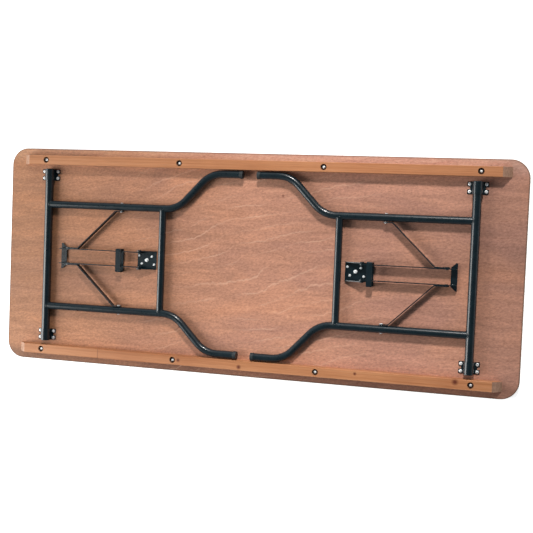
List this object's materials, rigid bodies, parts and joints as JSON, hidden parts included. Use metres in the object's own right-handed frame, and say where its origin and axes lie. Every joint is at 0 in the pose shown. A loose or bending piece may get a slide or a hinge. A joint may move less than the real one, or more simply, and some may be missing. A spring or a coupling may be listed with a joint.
{
  "type": "folding table",
  "caption": "Rectangular plywood folding table with folding steel wishbone legs, hinged braces and sliding lock rings, shown folded on its top face.",
  "frame": {"origin": "centre of the tabletop's upper face, on which the folded table lies upside down", "axes": "+X along the table's length, +Y across its width, +Z out of the underside, away from the tabletop"},
  "size_m": [1.83, 0.762, 0.0494],
  "materials": {
    "plywood": "thin satin varnish over red-brown hardwood veneer",
    "batten_wood": "varnished orange-brown softwood",
    "painted_steel": "semi-gloss blue-black powder coat",
    "zinc_steel": "bright zinc plate",
    "black_plastic": "matt moulded black plastic"
  },
  "bodies": {
    "tabletop": {"tabletop_panel": "plywood", "front_batten": "batten_wood", "front_batten_screws": "zinc_steel", "rear_batten": "batten_wood", "rear_batten_screws": "zinc_steel", "left_front_saddle": "painted_steel", "left_rear_saddle": "painted_steel", "left_saddle_screws": "zinc_steel", "left_anchor_plate": "painted_steel", "left_plate_screws": "zinc_steel", "left_anchor_rivets": "painted_steel", "right_front_saddle": "painted_steel", "right_rear_saddle": "painted_steel", "right_saddle_screws": "zinc_steel", "right_anchor_plate": "painted_steel", "right_plate_screws": "zinc_steel", "right_anchor_rivets": "painted_steel"},
    "left_leg": {"left_hinge_tube": "painted_steel", "left_hinge_plugs": "black_plastic", "left_front_leg_tube": "painted_steel", "left_rear_leg_tube": "painted_steel", "left_cross_tube": "painted_steel", "left_front_foot_cap": "black_plastic", "left_rear_foot_cap": "black_plastic", "left_leg_rivets": "zinc_steel"},
    "left_link": {"left_front_link_bar": "painted_steel", "left_rear_link_bar": "painted_steel", "left_stop_yoke": "painted_steel", "left_knee_rivets": "painted_steel"},
    "left_arms": {"left_front_arm": "painted_steel", "left_rear_arm": "painted_steel", "left_arm_rivets": "zinc_steel"},
    "left_ring": {"left_lock_ring": "painted_steel"},
    "right_leg": {"right_hinge_tube": "painted_steel", "right_hinge_plugs": "black_plastic", "right_front_leg_tube": "painted_steel", "right_rear_leg_tube": "painted_steel", "right_cross_tube": "painted_steel", "right_front_foot_cap": "black_plastic", "right_rear_foot_cap": "black_plastic", "right_leg_rivets": "zinc_steel"},
    "right_link": {"right_front_link_bar": "painted_steel", "right_rear_link_bar": "painted_steel", "right_stop_yoke": "painted_steel", "right_knee_rivets": "painted_steel"},
    "right_arms": {"right_front_arm": "painted_steel", "right_rear_arm": "painted_steel", "right_arm_rivets": "zinc_steel"},
    "right_ring": {"right_lock_ring": "painted_steel"}
  },
  "joints": [
    {"name": "left_leg_fold", "type": "hinge", "parent": "tabletop", "child": "left_leg", "pos_m": [-0.7555, 0, 0.033], "axis": [0, -1, 0], "range_deg": [0, 95]},
    {"name": "left_link_swing", "type": "hinge", "parent": "tabletop", "child": "left_link", "pos_m": [-0.396, 0, 0.033], "axis": [0, 1, 0], "range_deg": [0, 36.64]},
    {"name": "left_knee", "type": "hinge", "parent": "left_link", "child": "left_arms", "pos_m": [-0.6719, 0, 0.033], "axis": [0, -1, 0], "range_deg": [0, 180.05]},
    {"name": "left_ring_slide", "type": "slide", "parent": "left_link", "child": "left_ring", "axis": [-1, 0, 0], "range_m": [0, 0.2025]},
    {"name": "right_leg_fold", "type": "hinge", "parent": "tabletop", "child": "right_leg", "pos_m": [0.7555, 0, 0.033], "axis": [0, 1, 0], "range_deg": [0, 95]},
    {"name": "right_link_swing", "type": "hinge", "parent": "tabletop", "child": "right_link", "pos_m": [0.396, 0, 0.033], "axis": [0, -1, 0], "range_deg": [0, 36.64]},
    {"name": "right_knee", "type": "hinge", "parent": "right_link", "child": "right_arms", "pos_m": [0.6719, 0, 0.033], "axis": [0, 1, 0], "range_deg": [0, 180.05]},
    {"name": "right_ring_slide", "type": "slide", "parent": "right_link", "child": "right_ring", "axis": [1, 0, 0], "range_m": [0, 0.2515]}
  ],
  "couplings": [
    {"joint": "left_link_swing", "follows": "left_leg_fold", "ratio": 0.38516},
    {"joint": "left_knee", "follows": "left_leg_fold", "ratio": 1.8947},
    {"joint": "left_ring_slide", "follows": "left_leg_fold", "m_per_rad": 0.12207},
    {"joint": "right_link_swing", "follows": "right_leg_fold", "ratio": 0.38516},
    {"joint": "right_knee", "follows": "right_leg_fold", "ratio": 1.8947},
    {"joint": "right_ring_slide", "follows": "right_leg_fold", "m_per_rad": 0.15162}
  ]
}
